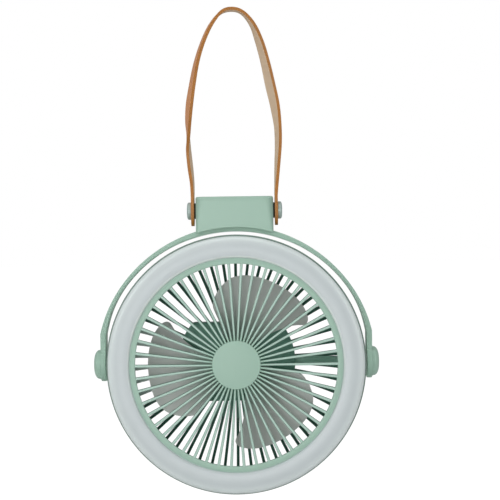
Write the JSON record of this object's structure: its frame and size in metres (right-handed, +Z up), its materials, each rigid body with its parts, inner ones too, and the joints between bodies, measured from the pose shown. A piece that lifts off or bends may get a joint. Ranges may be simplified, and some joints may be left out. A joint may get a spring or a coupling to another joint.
{
  "type": "portable camping fan",
  "caption": "Round battery fan with a light ring around its grille, on an arched tilting bracket whose foot block carries a leather hanging strap.",
  "frame": {"origin": "hanging point: inside of the strap's apex, where a hook or a finger carries the fan", "axes": "+Z up, -Y the way that the fan faces and blows, +X to the viewer's right"},
  "size_m": [0.2136, 0.0568, 0.3626],
  "materials": {
    "shell_green": "satin",
    "rotor_plastic": "satin",
    "diffuser_plastic": "satin",
    "white_plastic": "satin",
    "board_white": "matte",
    "board_green": "satin",
    "light_chip": "gloss",
    "dark_plastic": "matte",
    "steel": "satin",
    "magnet": "matte",
    "copper": "gloss",
    "brass": "satin",
    "cell_wrap": "gloss",
    "wire_jacket": "satin",
    "stud_finish": "satin",
    "washer_rubber": "matte",
    "leather": "satin"
  },
  "bodies": {
    "strap": {"strap": "leather"},
    "bracket": {"bracket": "shell_green", "block_shell": "shell_green", "block_lid": "shell_green", "lid_screws": "steel", "block_screws": "steel", "stud_inserts": "brass", "strap_studs": "stud_finish", "strap_washers": "washer_rubber", "pivot_washers": "white_plastic", "pivot_knobs": "shell_green"},
    "head": {"rear_shell": "shell_green", "light_tray": "white_plastic", "light_board": "board_white", "lights": "light_chip", "tray_screws": "steel", "diffuser_ring": "diffuser_plastic", "front_grille": "shell_green", "front_bearing": "steel", "rear_bearing": "steel", "motor_mount": "brass", "motor_screws": "steel", "motor_board": "board_green", "stator_core": "steel", "stator_coils": "copper", "battery_cells": "cell_wrap", "battery_contacts": "steel", "control_board": "board_green", "push_switches": "dark_plastic", "usb_port": "steel", "charge_lights": "diffuser_plastic", "pod_cover": "shell_green", "cover_screws": "steel", "led_wires": "wire_jacket", "motor_wires": "wire_jacket", "battery_wires": "wire_jacket", "pivot_inserts": "brass", "pivot_screws": "steel"},
    "rotor": {"fan_rotor": "rotor_plastic", "flux_ring": "steel", "magnet_ring": "magnet", "fan_shaft": "steel", "shaft_clip": "steel"},
    "fan_key": {"fan_button": "shell_green", "fan_plunger": "dark_plastic"},
    "light_key": {"light_button": "shell_green", "light_plunger": "dark_plastic"}
  },
  "joints": [
    {"name": "strap_swing", "type": "hinge", "parent": "strap", "child": "bracket", "pos_m": [0, 0, -0.15015], "axis": [1, 0, 0], "range_deg": [-105, 105]},
    {"name": "head_tilt", "type": "hinge", "parent": "bracket", "child": "head", "pos_m": [0, 0, -0.26435], "axis": [1, 0, 0], "range_deg": [0, 180]},
    {"name": "fan_spin", "type": "hinge", "parent": "head", "child": "rotor", "pos_m": [0, 0, -0.26435], "axis": [0, 1, 0], "continuous": true},
    {"name": "fan_press", "type": "slide", "parent": "head", "child": "fan_key", "axis": [0, -1, 0], "range_m": [0, 0.0007], "stiffness_N_per_m": 1500, "springref_m": -0.0003},
    {"name": "light_press", "type": "slide", "parent": "head", "child": "light_key", "axis": [0, -1, 0], "range_m": [0, 0.0007], "stiffness_N_per_m": 1500, "springref_m": -0.0003}
  ]
}
